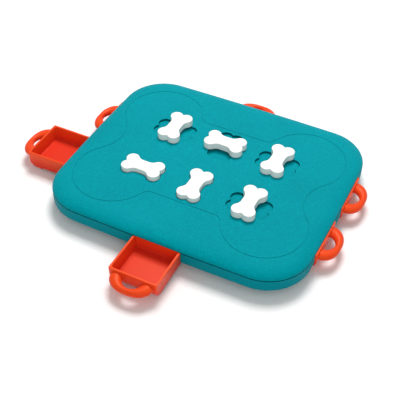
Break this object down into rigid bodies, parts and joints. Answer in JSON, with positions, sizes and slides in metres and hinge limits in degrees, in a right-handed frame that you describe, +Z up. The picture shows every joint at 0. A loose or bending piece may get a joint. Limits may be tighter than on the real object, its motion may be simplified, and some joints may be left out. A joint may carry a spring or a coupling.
{
  "type": "dog puzzle feeder toy",
  "caption": "Low rounded board with pull-out treat drawers on its edges and turning bone-shaped knobs that lock them.",
  "frame": {"origin": "on the floor under the middle of the board, at the centre of the middle foot's underside", "axes": "+X along the board's long side towards the two right-hand drawers, +Y towards the rear drawer, +Z up"},
  "size_m": [0.4216, 0.3666, 0.0426],
  "materials": {
    "teal_top": "fine matte texture",
    "teal_base": "satin",
    "orange_drawer": "satin moulded",
    "white_knob": "satin",
    "cam_plastic": "natural acetal",
    "screw_steel": "zinc plated",
    "foot_rubber": "matte"
  },
  "bodies": {
    "board": {"base_shell": "teal_base", "guide_rails": "teal_base", "top_shell": "teal_top", "shell_screws": "screw_steel", "rubber_feet": "foot_rubber"},
    "drawer_left_rear": {"drawer_left_rear": "orange_drawer"},
    "bone_left_rear": {"bone_knob_left_rear": "white_knob", "lock_cam_left_rear": "cam_plastic"},
    "drawer_left_front": {"drawer_left_front": "orange_drawer"},
    "bone_left_front": {"bone_knob_left_front": "white_knob", "lock_cam_left_front": "cam_plastic"},
    "drawer_right_rear": {"drawer_right_rear": "orange_drawer"},
    "bone_right_rear": {"bone_knob_right_rear": "white_knob", "lock_cam_right_rear": "cam_plastic"},
    "drawer_right_front": {"drawer_right_front": "orange_drawer"},
    "bone_right_front": {"bone_knob_right_front": "white_knob", "lock_cam_right_front": "cam_plastic"},
    "drawer_rear": {"drawer_rear": "orange_drawer"},
    "bone_rear": {"bone_knob_rear": "white_knob", "lock_cam_rear": "cam_plastic"},
    "drawer_front": {"drawer_front": "orange_drawer"},
    "bone_front": {"bone_knob_front": "white_knob", "lock_cam_front": "cam_plastic"}
  },
  "joints": [
    {"name": "drawer_left_rear_slide", "type": "slide", "parent": "board", "child": "drawer_left_rear", "axis": [-1, 0, 0], "range_m": [0, 0.0522]},
    {"name": "bone_left_rear_turn", "type": "hinge", "parent": "board", "child": "bone_left_rear", "pos_m": [-0.0702, 0.0416, 0.034], "axis": [0, 0, 1], "range_deg": [-90, 90]},
    {"name": "drawer_left_front_slide", "type": "slide", "parent": "board", "child": "drawer_left_front", "axis": [-1, 0, 0], "range_m": [-0.0522, 0]},
    {"name": "bone_left_front_lift", "type": "slide", "parent": "board", "child": "bone_left_front", "axis": [0, 0, 1], "range_m": [0, 0.0028]},
    {"name": "drawer_right_rear_slide", "type": "slide", "parent": "board", "child": "drawer_right_rear", "axis": [1, 0, 0], "range_m": [0, 0.0522]},
    {"name": "bone_right_rear_turn", "type": "hinge", "parent": "board", "child": "bone_right_rear", "pos_m": [0.0702, 0.0416, 0.034], "axis": [0, 0, 1], "range_deg": [-90, 90]},
    {"name": "drawer_right_front_slide", "type": "slide", "parent": "board", "child": "drawer_right_front", "axis": [1, 0, 0], "range_m": [0, 0.0522]},
    {"name": "bone_right_front_turn", "type": "hinge", "parent": "board", "child": "bone_right_front", "pos_m": [0.0702, -0.0416, 0.034], "axis": [0, 0, 1], "range_deg": [-90, 90]},
    {"name": "drawer_rear_slide", "type": "slide", "parent": "board", "child": "drawer_rear", "axis": [0, 1, 0], "range_m": [0, 0.0522]},
    {"name": "bone_rear_turn", "type": "hinge", "parent": "board", "child": "bone_rear", "pos_m": [0, 0.0416, 0.034], "axis": [0, 0, 1], "range_deg": [-90, 90]},
    {"name": "drawer_front_slide", "type": "slide", "parent": "board", "child": "drawer_front", "axis": [0, -1, 0], "range_m": [-0.0522, 0]},
    {"name": "bone_front_lift", "type": "slide", "parent": "board", "child": "bone_front", "axis": [0, 0, 1], "range_m": [0, 0.0028]}
  ]
}
